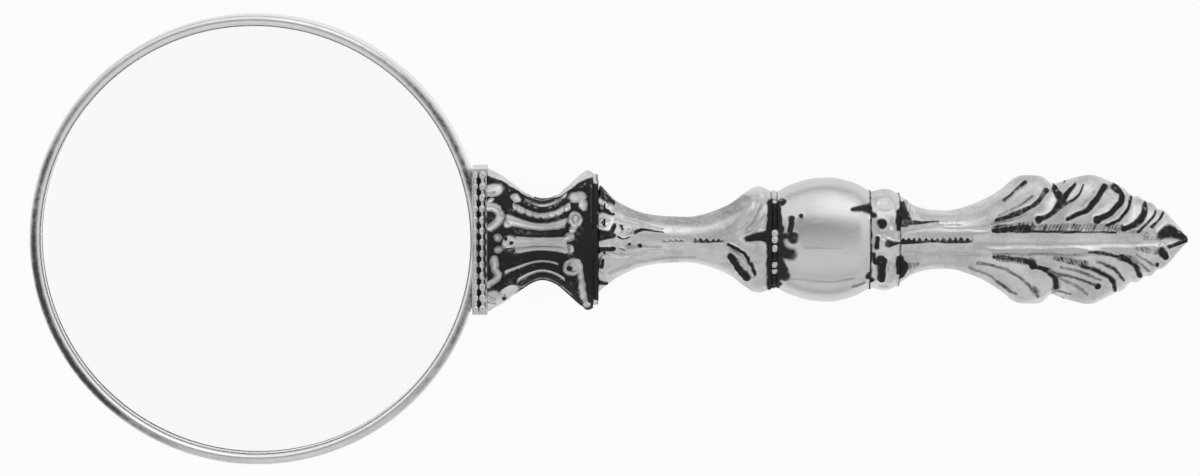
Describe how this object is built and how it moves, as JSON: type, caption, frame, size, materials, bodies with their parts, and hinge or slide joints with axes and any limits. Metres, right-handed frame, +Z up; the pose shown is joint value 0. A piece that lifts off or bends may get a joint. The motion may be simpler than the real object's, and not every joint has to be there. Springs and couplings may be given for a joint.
{
  "type": "magnifying glass",
  "caption": "Round biconvex lens in a silver hoop with a screwed-on ornamental handle of a fluted capital, stem, oval knop and pointed leaf.",
  "frame": {"origin": "on the surface that the magnifier lies on, under the middle of its overall length and width", "axes": "+X along the handle from the lens to the leaf's point, +Y across the handle to its left, +Z up, along the lens's optical axis, out of the front"},
  "size_m": [0.2048, 0.08, 0.015],
  "materials": {
    "polished_silver": "bright hand-polished sterling silver with fine wear scratches",
    "chased_silver": "stamped and chased silver, polished on the high points, with black oxide left in the recesses",
    "crystal_glass": "clear polished optical glass",
    "black_card": "matte black fibre packing",
    "plain_brass": "turned brass, unpolished",
    "iron_wire": "plain drawn steel",
    "dark_pitch": "set pitch and plaster filling"
  },
  "bodies": {
    "rim": {"rim_hoop": "polished_silver", "lens": "crystal_glass", "rim_yoke": "chased_silver", "front_beaded_wires": "chased_silver", "back_beaded_wire": "chased_silver", "rim_stud": "plain_brass", "stud_nut": "plain_brass", "capital_front_shell": "chased_silver", "capital_back_shell": "chased_silver", "capital_foot_plate": "polished_silver"},
    "packing_ring": {"packing_ring": "black_card"},
    "retaining_ring": {"retaining_ring": "polished_silver"},
    "thrust_washer": {"thrust_washer": "plain_brass"},
    "handle": {"stem_bush": "plain_brass", "stem_front_shell": "chased_silver", "stem_back_shell": "chased_silver", "stem_filler": "dark_pitch", "beaded_collar": "chased_silver", "knop_front_shell": "polished_silver", "knop_back_shell": "polished_silver", "knop_filler": "dark_pitch", "leaf_collar": "chased_silver", "leaf_front_shell": "chased_silver", "leaf_back_shell": "chased_silver", "leaf_filler": "dark_pitch", "tang_rod": "iron_wire", "tang_washer": "iron_wire", "tang_nut": "iron_wire"}
  },
  "joints": [
    {"name": "handle_travel", "type": "slide", "parent": "rim", "child": "thrust_washer", "axis": [1, 0, 0], "range_m": [0, 0.006]},
    {"name": "handle_turn", "type": "hinge", "parent": "thrust_washer", "child": "handle", "pos_m": [0, 0, 0.0075], "axis": [1, 0, 0], "range_deg": [0, 2160]},
    {"name": "ring_travel", "type": "slide", "parent": "rim", "child": "packing_ring", "axis": [0, 0, -1], "range_m": [0, 0.0015]},
    {"name": "ring_turn", "type": "hinge", "parent": "packing_ring", "child": "retaining_ring", "pos_m": [-0.06245, 0, 0.0075], "axis": [0, 0, -1], "range_deg": [0, 1080]}
  ],
  "couplings": [
    {"joint": "handle_turn", "follows": "handle_travel", "rad_per_m": 6283.2},
    {"joint": "ring_turn", "follows": "ring_travel", "rad_per_m": 12566}
  ]
}
